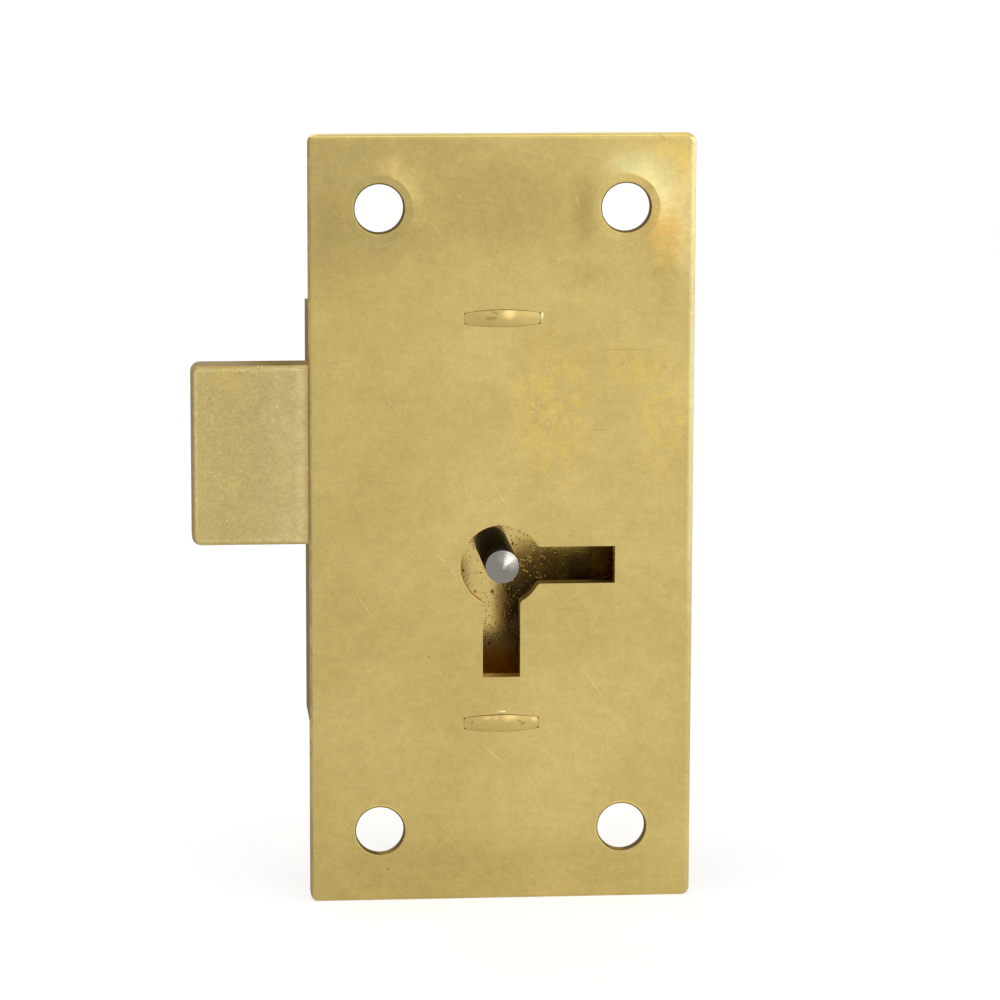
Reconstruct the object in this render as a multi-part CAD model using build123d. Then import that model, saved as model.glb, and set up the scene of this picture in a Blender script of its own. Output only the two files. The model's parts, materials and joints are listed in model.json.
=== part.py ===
from build123d import *
import math
import os

# Straight cupboard lock for two hands, in millimetres.
# X runs along the door towards the hinges, Y goes from the door into the lock and Z is up.
# The origin is the middle of the screw pattern, on the door face of the plate.
# The bolt is thrown, out to the left, and the gates of the levers stand level with its stump.

# Plate
plate_width = 31.75
plate_height = 64.0
plate_thickness = 1.5
plate_corner_radius = 0.7
plate_edge_roll = 0.35

# Screw holes, with a flat ring pressed up round the upper two, and its skirt falling to the plate
screw_spacing_x = 20.2
screw_spacing_z = 52.0
screw_hole_radius = 2.0
screw_land = 0.9
screw_edge = 0.1
countersink_radius = 2.8
ring_radius = 2.75
ring_height = 0.14
skirt_radius = 5.2
skirt_bend_radius = 3.73
skirt_bend_rise = 0.045

# Keyhole, a round with one slot down and one slot to the right
pin_drop = 3.66
keyhole_radius = 3.42
key_slot_width = 3.1
key_reach = 9.4
keyhole_corner_radius = 0.35

# Drill pin
pin_radius = 1.38
pin_projection = 0.9
pin_cone_height = 0.42

# Case, folded from sheet, with a tab on its top and bottom walls
case_height = 34.8
case_inset = 0.1
case_sheet = 0.9
case_bend_radius = 1.0
case_seam = 0.08
tab_length = 6.2
tab_swell = 0.26
tab_dome = 0.2
tab_bow_radius = 28.0
tab_crown_radius = 2.6
tab_corner_radius = 0.28
stake_depth = 0.5

# Bolt
bolt_height = 15.0
bolt_rise = 9.17
bolt_thickness = 3.0
bolt_nose_radius = 0.8
bolt_edge_radius = 0.38
bolt_grip = 3.0
tail_wall = 1.05
tail_room = 0.275
talon_play = 1.0
talon_headroom = 0.5

# Stump, riveted into the bolt and passing through the gates of the levers
stump_length = 1.8
stump_height = 1.6
stump_shank_radius = 0.7
stump_shank_depth = 2.0

# Lever post, which the levers turn on and the slot of the bolt slides on
post_radius = 1.3
post_offset = 2.6
post_rise = 14.05

# Levers
lever_thickness = 1.2
lever_lifts = (7.0, 9.0, 8.0, 10.0)
lever_full_lift = 12.5
lever_eye_radius = 3.4
lever_shoulder = 1.2
lever_rim = 1.2
lever_nose_radius = 0.9
belly_radius = 7.8
belly_lobe = 3.4
spring_slit_depth = 1.2
spring_slit_turn = 118.0

# Lever springs
spring_thickness = 0.25
spring_reach = 11.5
spring_bow = 0.6

# Studs and rivets
stop_radius = 1.0
washer_radius = 2.6
washer_thickness = 0.2
rivet_shank_radius = 0.95
rivet_head_radius = 1.7
rivet_head_height = 0.4
rivet_edge = 0.16
stud_chamfer = 0.15

# Fits
running_fit = 0.05
slide_fit = 0.1
stack_gap = 0.1
seat_gap = 0.02
gate_fit = 0.12

# Places worked out from the sizes above
pin_z = -pin_drop
bolt_z = pin_z + bolt_rise
bolt_top = bolt_z + bolt_height / 2
bolt_bottom = bolt_z - bolt_height / 2
plate_rear = plate_thickness
bolt_front = plate_rear + slide_fit
bolt_rear = bolt_front + bolt_thickness
levers_front = bolt_rear + stack_gap
lever_pitch = lever_thickness + stack_gap
levers_rear = levers_front + len(lever_lifts) * lever_pitch
floor_front = levers_rear + washer_thickness
floor_rear = floor_front + case_sheet
case_width = plate_width - 2 * case_inset
case_left = -case_width / 2
case_right = case_width / 2
case_top = case_height / 2
post_x = post_offset
post_z = pin_z + post_rise
slot_half_height = post_radius + running_fit
tail_end = post_x + slot_half_height + tail_wall
bolt_throw = case_right - case_sheet - tail_room - tail_end
bolt_end = -plate_width / 2 - bolt_throw
head_inner = case_left + case_sheet + bolt_grip
tail_bottom = pin_z + math.sqrt(key_reach ** 2 - (bolt_throw / 2) ** 2) + slide_fit
talon_top = pin_z + key_reach + talon_headroom
talon_width = key_slot_width + talon_play
talon_x = -bolt_throw / 2
slot_start = post_x - bolt_throw - slot_half_height
stump_x = slot_start - stump_length / 2 - tail_wall
stump_z = (talon_top + post_z - slot_half_height) / 2
stump_end = levers_rear - stack_gap
mean_lift = sum(lever_lifts) / len(lever_lifts)


def slab(outline, front, rear):
    """A flat outline in X and Z, as thick as from the front to the rear along Y."""
    return Pos(0, front, 0) * extrude(Plane.XZ * outline, -(rear - front))


def rod(radius, front, rear, x, z):
    """A round bar along Y."""
    return slab(Pos(x, z) * Circle(radius), front, rear)


def turned(points, x, z):
    """A turned piece from points of radius and depth, about a line along Y through x and z."""
    profile = make_face(Polyline(*points, close=True))
    return Pos(x, 0, z) * revolve(profile, Axis.Y)


def about_post(x, z, lift):
    """Where a point goes when a lever is lifted by an angle about the lever post."""
    turn = math.radians(lift)
    dx = x - post_x
    dz = z - post_z
    new_x = post_x + dx * math.cos(turn) + dz * math.sin(turn)
    new_z = post_z - dx * math.sin(turn) + dz * math.cos(turn)
    return new_x, new_z


def barrel(length, height, swell, corner):
    """The outline of a staked tab, swollen in its middle."""
    end = length / 2
    side = height / 2
    edges = Curve() + [
        Line((-end, -side), (-end, side)),
        ThreePointArc((-end, side), (0, side + swell), (end, side)),
        Line((end, side), (end, -side)),
        ThreePointArc((end, -side), (0, -side - swell), (-end, -side)),
    ]
    face = make_face(edges)
    return fillet(face.vertices(), corner)


def tab_places():
    """The middles of the two tabs, in line with the top and bottom walls of the case."""
    middle = case_top - case_sheet / 2
    return [Pos(0, middle), Pos(0, -middle)]


def keyhole_outline():
    """The round of the keyhole with its two slots, corners eased where they meet."""
    down = Pos(0, -key_reach / 2) * Rectangle(key_slot_width, key_reach)
    right = Pos(key_reach / 2, 0) * Rectangle(key_reach, key_slot_width)
    outline = Circle(keyhole_radius) + down + right
    junctions = [
        v for v in outline.vertices() if abs(math.hypot(v.X, v.Y) - keyhole_radius) < 0.01
    ]
    return Pos(0, pin_z) * fillet(junctions, keyhole_corner_radius)


def screw_ring(x, z):
    """The flat pressed-up ring round an upper screw hole, with its hollow skirt."""
    ring_edge = (ring_radius, -ring_height)
    edges = Curve() + [
        Line((0, plate_thickness), (0, -ring_height)),
        Line((0, -ring_height), ring_edge),
        ThreePointArc(ring_edge, (skirt_bend_radius, -skirt_bend_rise), (skirt_radius, 0)),
        Line((skirt_radius, 0), (skirt_radius, plate_thickness)),
        Line((skirt_radius, plate_thickness), (0, plate_thickness)),
    ]
    return Pos(x, 0, z) * revolve(make_face(edges), Axis.Y)


def screw_cut(x, z, front):
    """A screw hole, straight and with an eased edge at the front, countersunk from the case side."""
    over = 1.0
    slope = (countersink_radius - screw_hole_radius) / (plate_thickness - screw_land)
    points = [
        (0, front - over),
        (screw_hole_radius + screw_edge + over, front - over),
        (screw_hole_radius, front + screw_edge),
        (screw_hole_radius, screw_land),
        (countersink_radius + slope * over, plate_thickness + over),
        (0, plate_thickness + over),
    ]
    return turned(points, x, z)


def make_plate():
    """The lock plate, with its keyhole, screw holes and the slots of the case's tabs."""
    outline = RectangleRounded(plate_width, plate_height, plate_corner_radius)
    body = slab(outline, 0, plate_rear)
    front_edges = body.faces().sort_by(Axis.Y)[0].edges()
    body = fillet(front_edges, plate_edge_roll)
    half_x = screw_spacing_x / 2
    half_z = screw_spacing_z / 2
    for x in (-half_x, half_x):
        body += screw_ring(x, half_z)
        body -= screw_cut(x, half_z, -ring_height)
        body -= screw_cut(x, -half_z, 0)
    body -= slab(keyhole_outline(), -1, plate_rear + 1)
    slot = Rectangle(tab_length + 2 * seat_gap, case_sheet + 2 * seat_gap)
    swage = barrel(
        tab_length + 2 * seat_gap, case_sheet + 2 * seat_gap, tab_swell, tab_corner_radius
    )
    for place in tab_places():
        body -= slab(place * slot, -1, plate_rear + 1)
        body -= slab(place * swage, -1, stake_depth)
    return body


def make_case():
    """The case, folded up from one sheet, with its tabs staked over in the plate."""
    body = slab(Rectangle(case_width, case_height), plate_rear, floor_rear)
    bends = body.faces().sort_by(Axis.Y)[-1].edges()
    body = fillet(bends, case_bend_radius)
    inner = Rectangle(case_width - 2 * case_sheet, case_height - 2 * case_sheet)
    body -= slab(inner, plate_rear - 1, floor_front)
    seam = Rectangle(2 * case_sheet, case_seam)
    seam_z = case_top - case_sheet - case_seam / 2
    for x in (case_left, case_right):
        for z in (-seam_z, seam_z):
            body -= slab(Pos(x, z) * seam, plate_rear - 1, floor_rear + 1)
    mouth = Rectangle(4 * case_sheet, bolt_height + 2 * slide_fit)
    body -= slab(Pos(case_left, bolt_z) * mouth, plate_rear - 1, bolt_rear + slide_fit)
    for x, z in ((0, pin_z), (post_x, post_z), stop_place()):
        body -= rod(rivet_shank_radius + seat_gap, floor_front - 1, floor_rear + 1, x, z)
    tab = Rectangle(tab_length, case_sheet)
    head = barrel(tab_length, case_sheet, tab_swell - seat_gap, tab_corner_radius)
    crown = Torus(tab_bow_radius - tab_crown_radius, tab_crown_radius)
    for place in tab_places():
        body += slab(place * tab, stake_depth - 2 * seat_gap, plate_rear + case_sheet)
        staked = slab(place * head, -tab_dome, stake_depth - seat_gap)
        tab_z = place.position.Y
        body += staked & Pos(0, tab_bow_radius - tab_dome, tab_z) * crown
    return body


def make_bolt():
    """The bolt, with its talon for the key, its slot for the post and the stump's hole."""
    head = Pos((bolt_end + head_inner) / 2, bolt_z) * Rectangle(head_inner - bolt_end, bolt_height)
    head = fillet(head.vertices().sort_by(Axis.X)[:2], bolt_nose_radius)
    tail_height = bolt_top - tail_bottom
    tail_middle = (bolt_top + tail_bottom) / 2
    tail_length = tail_end - head_inner + 1
    tail = Pos(tail_end - tail_length / 2, tail_middle) * Rectangle(tail_length, tail_height)
    outline = head + tail
    talon_height = talon_top - tail_bottom + 1
    talon = Pos(talon_x, talon_top - talon_height / 2) * Rectangle(talon_width, talon_height)
    slot_length = bolt_throw + 2 * slot_half_height
    slot = Pos(post_x - bolt_throw / 2, post_z) * SlotOverall(slot_length, 2 * slot_half_height)
    outline = outline - talon - slot
    body = slab(outline, bolt_front, bolt_rear)
    rounded = []
    for edge in body.edges():
        middle = edge.center()
        on_face = abs(middle.Y - bolt_front) < 0.01 or abs(middle.Y - bolt_rear) < 0.01
        on_nose = middle.X < -plate_width / 2
        on_side = abs(middle.Z - bolt_top) < 0.01 or abs(middle.Z - bolt_bottom) < 0.01
        if on_face and (on_nose or on_side):
            rounded.append(edge)
    body = fillet(rounded, bolt_edge_radius)
    shank = stump_shank_radius + seat_gap
    body -= rod(shank, bolt_rear - stump_shank_depth - seat_gap, bolt_rear + 1, stump_x, stump_z)
    return body


def make_stump():
    """The square stump with its round shank."""
    place = Pos(stump_x, stump_z)
    body = slab(place * Rectangle(stump_length, stump_height), bolt_rear, stump_end)
    body += rod(stump_shank_radius, bolt_rear - stump_shank_depth, bolt_rear + 0.1, stump_x, stump_z)
    return body


def riveted(tip, x, z):
    """A stud from its tip down to the case floor, with its shank riveted over at the back."""
    radius = tip[-1][0]
    points = tip + [
        (radius, floor_front),
        (rivet_shank_radius, floor_front),
        (rivet_shank_radius, floor_rear),
        (rivet_head_radius, floor_rear),
        (rivet_head_radius, floor_rear + rivet_edge),
        (rivet_head_radius - rivet_edge, floor_rear + rivet_head_height),
        (0, floor_rear + rivet_head_height),
    ]
    return turned(points, x, z)


def chamfered(radius, front):
    """The tip of a plain stud, with a small chamfer."""
    return [(0, front), (radius - stud_chamfer, front), (radius, front + stud_chamfer)]


def make_drill_pin():
    """The pin that the pipe of the key fits over, turned to a flat cone at its end."""
    cone = [(0, -pin_projection), (pin_radius, pin_cone_height - pin_projection)]
    return riveted(cone, 0, pin_z)


def make_post():
    """The lever post, which reaches from the case floor to just short of the plate."""
    return riveted(chamfered(post_radius, plate_rear + running_fit), post_x, post_z)


def nose_place():
    """The left end and the lower and upper edges of a lever's nose, with the lever down."""
    reach = math.hypot(stump_x - post_x, stump_z - post_z)
    half_size = math.hypot(stump_length, stump_height) / 2
    left = post_x - reach - half_size - gate_fit - lever_rim
    lowest = about_post(stump_x, stump_z, -lever_full_lift)[1]
    bottom = lowest - half_size - gate_fit - lever_rim
    top = stump_z + half_size + gate_fit + lever_rim
    return left, bottom, top


def stop_place():
    """The stop stud stands just under the noses of the levers."""
    left, bottom, _ = nose_place()
    return left + 2 * stop_radius, bottom - stop_radius - running_fit


def make_stop():
    """The stud that the levers rest on when no key lifts them."""
    x, z = stop_place()
    return riveted(chamfered(stop_radius, levers_front), x, z)


def make_washer():
    """The washer between the lowest lever and the case floor."""
    body = rod(washer_radius, levers_rear, floor_front, post_x, post_z)
    return body - rod(post_radius + running_fit, levers_rear - 1, floor_front + 1, post_x, post_z)


def sector(inner, outer, first, last):
    """A ring segment about the lever post, between two angles in degrees from X."""
    far = 2 * outer
    middle = (first + last) / 2
    corners = [(0, 0)]
    for angle in (first, middle, last):
        corners.append((far * math.cos(math.radians(angle)), far * math.sin(math.radians(angle))))
    wedge = make_face(Polyline(*corners, close=True))
    return Pos(post_x, post_z) * ((Circle(outer) - Circle(inner)) & wedge)


def pocket(x, z, lift, spare):
    """The room round the stump at one end of the bolt's travel, for a lever's whole swing."""
    dx = x - post_x
    dz = z - post_z
    reach = math.hypot(dx, dz)
    across = abs(dx) / reach
    along = abs(dz) / reach
    radial = across * stump_length / 2 + along * stump_height / 2 + gate_fit
    swing = along * stump_length / 2 + across * stump_height / 2 + gate_fit
    angle = math.degrees(math.atan2(dz, dx))
    spread = math.degrees(swing / reach)
    return sector(reach - radial, reach + radial, angle - spread - lift, angle + spread + spare)


def make_lever(number):
    """One lever, drawn resting on its stop and then lifted until its gate meets the stump."""
    lift = lever_lifts[number]
    left, bottom, top = nose_place()
    shoulder_top = post_z + math.sqrt(lever_eye_radius ** 2 - lever_shoulder ** 2)
    lobe_x = post_x + belly_lobe
    outline = Pos(post_x, post_z) * Circle(lever_eye_radius)
    outline += make_face(
        Polyline(
            (left, bottom),
            (left, top),
            (post_x - lever_shoulder, shoulder_top),
            (lobe_x, post_z),
            (lobe_x, bottom),
            close=True,
        )
    )
    corners = outline.vertices().sort_by(Axis.X)[:2]
    outline = fillet(corners, lever_nose_radius)
    belly_x, belly_z = about_post(0, pin_z, -mean_lift)
    outline -= Pos(belly_x, belly_z) * Circle(belly_radius)
    slit_angle = math.radians(spring_slit_turn)
    slit_x = post_x + lever_eye_radius * math.cos(slit_angle)
    slit_z = post_z + lever_eye_radius * math.sin(slit_angle)
    slit = Rectangle(2 * spring_slit_depth, spring_thickness + 2 * seat_gap)
    outline -= Pos(slit_x, slit_z) * Rot(0, 0, spring_slit_turn) * slit
    lifted = Pos(post_x, post_z) * Rot(0, 0, -lift) * Pos(-post_x, -post_z) * outline
    gate_middle = stump_x + bolt_throw / 2
    gate_height = stump_height + 2 * gate_fit
    gate = Pos(gate_middle, stump_z) * Rectangle(bolt_throw, gate_height)
    spare = lever_full_lift - lift
    window = gate + pocket(stump_x, stump_z, lift, spare)
    window += pocket(stump_x + bolt_throw, stump_z, lift, spare)
    hole = Pos(post_x, post_z) * Circle(post_radius + running_fit)
    front = levers_front + number * lever_pitch
    return slab(lifted - window - hole, front, front + lever_thickness)


def make_spring(number):
    """One leaf spring, from the slit in its lever's eye up to the top wall of the case."""
    lift = lever_lifts[number]
    slit_angle = math.radians(spring_slit_turn - lift)
    inner = lever_eye_radius - spring_slit_depth + seat_gap
    foot = (post_x + inner * math.cos(slit_angle), post_z + inner * math.sin(slit_angle))
    out = lever_eye_radius + 2 * spring_thickness
    neck = (post_x + out * math.cos(slit_angle), post_z + out * math.sin(slit_angle))
    wall = case_top - case_sheet
    tip = (post_x - spring_reach, wall - spring_thickness / 2 - seat_gap)
    middle = ((neck[0] + tip[0]) / 2, (neck[1] + tip[1]) / 2 - spring_bow)
    path = Curve() + [Line(foot, neck), ThreePointArc(neck, middle, tip)]
    front = levers_front + number * lever_pitch
    strip = trace(path, spring_thickness)
    return slab(strip, front, front + lever_thickness)


def write(name, solid):
    """Write one piece under its name."""
    solid.label = name
    export_step(solid, os.path.join("parts", name + ".step"))


def main():
    """Build every piece of the lock and write each to its own file."""
    os.makedirs("parts", exist_ok=True)
    write("lock_plate", make_plate())
    write("case", make_case())
    write("bolt", make_bolt())
    write("bolt_stump", make_stump())
    write("drill_pin", make_drill_pin())
    write("lever_post", make_post())
    write("lever_stop", make_stop())
    write("base_washer", make_washer())
    for number in range(len(lever_lifts)):
        write("lever_" + str(number + 1), make_lever(number))
        write("lever_spring_" + str(number + 1), make_spring(number))


main()
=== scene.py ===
import json
import math

import bpy
from mathutils import Matrix, Vector


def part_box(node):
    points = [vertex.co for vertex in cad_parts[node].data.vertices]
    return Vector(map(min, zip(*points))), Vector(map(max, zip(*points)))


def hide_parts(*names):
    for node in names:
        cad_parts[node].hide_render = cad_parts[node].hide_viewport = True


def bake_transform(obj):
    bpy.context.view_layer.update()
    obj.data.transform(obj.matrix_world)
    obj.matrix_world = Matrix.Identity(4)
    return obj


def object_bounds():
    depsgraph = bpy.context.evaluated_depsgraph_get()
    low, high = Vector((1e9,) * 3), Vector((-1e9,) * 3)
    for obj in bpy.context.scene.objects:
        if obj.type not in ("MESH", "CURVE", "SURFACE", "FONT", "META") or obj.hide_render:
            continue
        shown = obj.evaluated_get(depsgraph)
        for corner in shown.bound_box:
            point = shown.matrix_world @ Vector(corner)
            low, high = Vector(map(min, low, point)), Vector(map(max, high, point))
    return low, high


MM = 0.001

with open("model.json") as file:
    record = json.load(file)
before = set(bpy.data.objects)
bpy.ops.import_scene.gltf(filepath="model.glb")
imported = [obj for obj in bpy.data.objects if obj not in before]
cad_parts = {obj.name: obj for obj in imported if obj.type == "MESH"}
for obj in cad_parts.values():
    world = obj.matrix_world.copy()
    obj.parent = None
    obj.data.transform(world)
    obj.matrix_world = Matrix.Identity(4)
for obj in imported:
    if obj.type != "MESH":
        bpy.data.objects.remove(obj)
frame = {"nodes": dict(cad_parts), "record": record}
cad_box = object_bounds()
plate_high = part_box("lock_plate")[1]
case_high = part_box("case")[1]
pin_low, pin_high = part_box("drill_pin")
bolt_low, bolt_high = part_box("bolt")

# Sizes and places from the frame, in millimetres from the middle of the screw pattern
HALF_WIDTH = plate_high.x / MM
HALF_HEIGHT = plate_high.z / MM
CASE_HALF_WIDTH = case_high.x / MM
CASE_HALF_HEIGHT = case_high.z / MM
BOLT_END = bolt_low.x / MM
BOLT_BOTTOM = bolt_low.z / MM
BOLT_TOP = bolt_high.z / MM
SCREWS = frame["record"]["mounts"][0]["dims"]
SCREW_X = SCREWS["spacing_x_mm"] / 2
SCREW_Z = SCREWS["spacing_y_mm"] / 2
SCREW_RADIUS = SCREWS["hole_r_mm"]
PIN_X = (pin_low.x + pin_high.x) / 2 / MM
PIN_Z = (pin_low.z + pin_high.z) / 2 / MM

# The ring round each upper screw hole, the round of the keyhole, and how far the key's bit reaches
RING_RADIUS = 2.80
KEYHOLE_RADIUS = 3.42
KEY_REACH = 9.4


def shade(colour, level):
    """A fixed colour made lighter or darker."""
    return tuple(level * channel for channel in colour)


# Colours of the brass sheet, in linear light. Several of them also paint highlights, reflections and shade
# where they are used
BRASS = (0.548, 0.420, 0.146)
BRASS_PALE = (0.640, 0.497, 0.183)
BRASS_COOL = (0.560, 0.435, 0.205)
BRASS_RICH = (0.575, 0.430, 0.108)
BRASS_WAN = (0.515, 0.480, 0.225)
BRASS_DULL_AND_SHADE = (0.430, 0.322, 0.110)
BRASS_BROWN = (0.200, 0.125, 0.035)
BRASS_GOLD = (0.725, 0.495, 0.110)
BRASS_YELLOW = (0.760, 0.600, 0.170)
BRASS_WARM = (0.780, 0.520, 0.120)
BRASS_HONEY = (0.840, 0.690, 0.320)
BRASS_RUBBED_AND_HIGHLIGHT = (0.880, 0.800, 0.440)
BRASS_PEACH = (0.800, 0.560, 0.215)
BRASS_ORANGE = (0.740, 0.360, 0.110)
DIRT = (0.060, 0.035, 0.012)
EDGE_TAUPE = (0.500, 0.365, 0.170)
EDGE_GOLD = (0.590, 0.415, 0.150)
# The yellow edge colour paints a highlight on the top side, and the roll colours paint shade in the left roll
EDGE_YELLOW = shade(BRASS_YELLOW, 1.35)
ROLL_TAUPE = shade(EDGE_TAUPE, 1.35)
ROLL_GOLD = shade(EDGE_GOLD, 1.45)

# Colours of the case. The dark floor colour paints shadows, the chip colour also paints glints, and the tab
# colours paint highlights
CASE_FILM_AND_SHADE = (0.470, 0.365, 0.180)
FLOOR_BRASS = (0.640, 0.475, 0.175)
FLOOR_DARK = (0.270, 0.150, 0.022)
SLOT_END_BROWN = (0.900, 0.400, 0.012)
FLOOR_CHIP_AND_GLINT = shade(BRASS_GOLD, 1.25)
TAB_HIGHLIGHT = shade(BRASS_PEACH, 1.15)
TAB_GLINT = shade(BRASS_PEACH, 1.10)

# Colours of the cast bolt, the steel and the springs. The cast glint colour paints glints and a rim
# highlight, and the darkest steel paints shade on the pin's shank
CAST_BRASS = (0.470, 0.375, 0.155)
CAST_PALE = (0.640, 0.540, 0.290)
CAST_GLINT = (0.900, 0.780, 0.380)
CAST_SIDE = (0.650, 0.500, 0.245)
CAST_SIDE_DARK = (0.335, 0.190, 0.040)
CAST_END = (0.690, 0.520, 0.260)
STEEL = (0.225, 0.212, 0.185)
STEEL_PALE = (0.330, 0.315, 0.285)
STEEL_SHADE = (0.042, 0.031, 0.017)
BRONZE = (0.520, 0.290, 0.110)
BRONZE_DARK = (0.230, 0.115, 0.045)

# How much of the metal's shine is left under a full film, which paints tarnished metal and shade, and on the
# pin's shank, which is painted dark as shade
FILM_METAL = 0.06
SHANK_METAL = 0.22


class Finish:
    """A metal finish. Its texture coordinates are millimetres on the object."""

    def __init__(self, name):
        self.material = bpy.data.materials.new(name)
        self.material.use_nodes = True
        self.tree = self.material.node_tree
        self.tree.nodes.clear()
        output = self.tree.nodes.new("ShaderNodeOutputMaterial")
        self.shader = self.tree.nodes.new("ShaderNodeBsdfPrincipled")
        self.shader.inputs["Metallic"].default_value = 1.0
        self.tree.links.new(self.shader.outputs["BSDF"], output.inputs["Surface"])
        place = self.tree.nodes.new("ShaderNodeTexCoord").outputs["Object"]
        scale = self.tree.nodes.new("ShaderNodeVectorMath")
        scale.operation = "SCALE"
        scale.inputs["Scale"].default_value = 1 / MM
        self.tree.links.new(place, scale.inputs[0])
        self.place = scale.outputs["Vector"]
        parts = self.tree.nodes.new("ShaderNodeSeparateXYZ")
        self.tree.links.new(self.place, parts.inputs[0])
        self.x, self.y, self.z = parts.outputs
        normal = self.tree.nodes.new("ShaderNodeNewGeometry").outputs["True Normal"]
        facing = self.tree.nodes.new("ShaderNodeSeparateXYZ")
        self.tree.links.new(normal, facing.inputs[0])
        self.facing_x, self.facing_y, self.facing_z = facing.outputs

    def put(self, value, socket):
        """Feed a socket from another socket, or set it to a constant."""
        if isinstance(value, bpy.types.NodeSocket):
            self.tree.links.new(value, socket)
        elif socket.type == "RGBA":
            socket.default_value = (*value, 1.0)
        else:
            socket.default_value = value

    def math(self, operation, first, second=0.0):
        node = self.tree.nodes.new("ShaderNodeMath")
        node.operation = operation
        self.put(first, node.inputs[0])
        self.put(second, node.inputs[1])
        return node.outputs[0]

    def chain(self, operation, values):
        """Join two or more values by one operation."""
        result = values[0]
        for value in values[1:]:
            result = self.math(operation, result, value)
        return result

    def add(self, *values):
        return self.chain("ADD", values)

    def times(self, *values):
        return self.chain("MULTIPLY", values)

    def least(self, *values):
        return self.chain("MINIMUM", values)

    def most(self, *values):
        return self.chain("MAXIMUM", values)

    def unsigned(self, value):
        return self.math("ABSOLUTE", value)

    def span(self, value, low, high, to_low=0.0, to_high=1.0):
        """Map a value smoothly from one span to another, clamped at both ends."""
        node = self.tree.nodes.new("ShaderNodeMapRange")
        node.interpolation_type = "SMOOTHSTEP"
        self.put(value, node.inputs["Value"])
        node.inputs["From Min"].default_value = low
        node.inputs["From Max"].default_value = high
        node.inputs["To Min"].default_value = to_low
        node.inputs["To Max"].default_value = to_high
        return node.outputs["Result"]

    def vary(self, source, spread, low=0.25, high=0.75):
        """A level that follows a noise, up to a spread below and above one."""
        return self.span(source, low, high, 1.0 - spread, 1.0 + spread)

    def mapped(self, stretch, turn, shift):
        """The coordinates turned about the Y axis, scaled and moved."""
        node = self.tree.nodes.new("ShaderNodeMapping")
        self.put(self.place, node.inputs["Vector"])
        node.vector_type = "TEXTURE"
        node.inputs["Rotation"].default_value = (0.0, math.radians(turn), 0.0)
        node.inputs["Location"].default_value = shift
        node.inputs["Scale"].default_value = stretch
        return node.outputs["Vector"]

    def noise(self, size, detail, rough, stretch=(1, 1, 1), turn=0.0, seed=0.0, warp=0.0):
        """Soft noise whose blotches are about size millimetres across."""
        node = self.tree.nodes.new("ShaderNodeTexNoise")
        scaled = tuple(size * s for s in stretch)
        self.put(self.mapped(scaled, turn, (seed * 17.3, seed * 5.1, seed * 11.7)), node.inputs["Vector"])
        node.inputs["Scale"].default_value = 1.0
        node.inputs["Detail"].default_value = detail
        node.inputs["Roughness"].default_value = rough
        node.inputs["Distortion"].default_value = warp
        return node.outputs["Fac"]

    def cells(self, stretch, turn, seed, share):
        """The distance to the nearest of scattered points, and one near a share of them."""
        node = self.tree.nodes.new("ShaderNodeTexVoronoi")
        self.put(self.mapped(stretch, turn, (seed * 13.1, seed * 7.7, seed * 3.9)), node.inputs["Vector"])
        node.inputs["Scale"].default_value = 1.0
        split = self.tree.nodes.new("ShaderNodeSeparateColor")
        self.tree.links.new(node.outputs["Color"], split.inputs["Color"])
        chosen = self.span(split.outputs["Red"], 1 - share - 0.01, 1 - share + 0.01)
        return node.outputs["Distance"], chosen

    def specks(self, size, share, radius, seed):
        """Scattered small spots, in a share of cells of about size millimetres."""
        distance, chosen = self.cells((size, size, size), 0.0, seed, share)
        return self.times(chosen, self.span(distance, radius, radius * 0.35))

    def scratches(self, length, gap, share, turn, seed):
        """Thin straight marks of about one length, in one direction."""
        distance, chosen = self.cells((length, length, gap), turn, seed, share)
        wander = self.noise(length, 1.0, 0.5, seed=seed + 3)
        return self.times(chosen, self.span(distance, 0.16, 0.02), self.span(wander, 0.35, 0.6))

    def inward(self, place, edge):
        """How far a place in X or Z lies in from an edge, in millimetres."""
        return self.add(edge, self.times(place, -1.0))

    def away(self, x, z, half_x=1.0, half_z=1.0):
        """The distance in X and Z from a point, in millimetres or in the half sizes of an ellipse."""
        dx = self.times(self.add(self.x, -x), 1 / half_x)
        dz = self.times(self.add(self.z, -z), 1 / half_z)
        return self.math("SQRT", self.add(self.times(dx, dx), self.times(dz, dz)))

    def patch(self, x, z, half_x, half_z, soft):
        """One over an ellipse, falling softly to nought at its rim."""
        return self.span(self.away(x, z, half_x, half_z), 1.0 + soft, 1.0 - soft)

    def patches(self, places):
        """The strongest of several patches, each with its middle, half sizes, softness and strength."""
        return self.most(*(self.times(self.patch(*place), strength) for *place, strength in places))

    def stroke(self, x0, z0, x1, z1, width):
        """One on a thin straight mark between two points, fading at its ends."""
        length = math.hypot(x1 - x0, z1 - z0)
        ux = (x1 - x0) / length
        uz = (z1 - z0) / length
        dx = self.add(self.x, -(x0 + x1) / 2)
        dz = self.add(self.z, -(z0 + z1) / 2)
        along = self.unsigned(self.add(self.times(dx, ux), self.times(dz, uz)))
        across = self.unsigned(self.add(self.times(dx, -uz), self.times(dz, ux)))
        ends = self.span(along, length * 0.5, length * 0.25)
        return self.times(ends, self.span(across, width, width * 0.2))

    def strokes(self, marks):
        """The strongest of several marks, each with both its ends and its width."""
        return self.most(*(self.stroke(*mark) for mark in marks))

    def mix(self, share, first, second):
        node = self.tree.nodes.new("ShaderNodeMix")
        node.data_type = "RGBA"
        colours = [s for s in node.inputs if s.type == "RGBA"]
        self.put(share, node.inputs["Factor"])
        self.put(first, colours[0])
        self.put(second, colours[1])
        return [s for s in node.outputs if s.type == "RGBA"][0]

    def coat(self, colour, over, mask, strength):
        """Lay one colour over another where a mask says, up to a strength."""
        return self.mix(self.times(mask, strength), colour, over)

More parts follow.
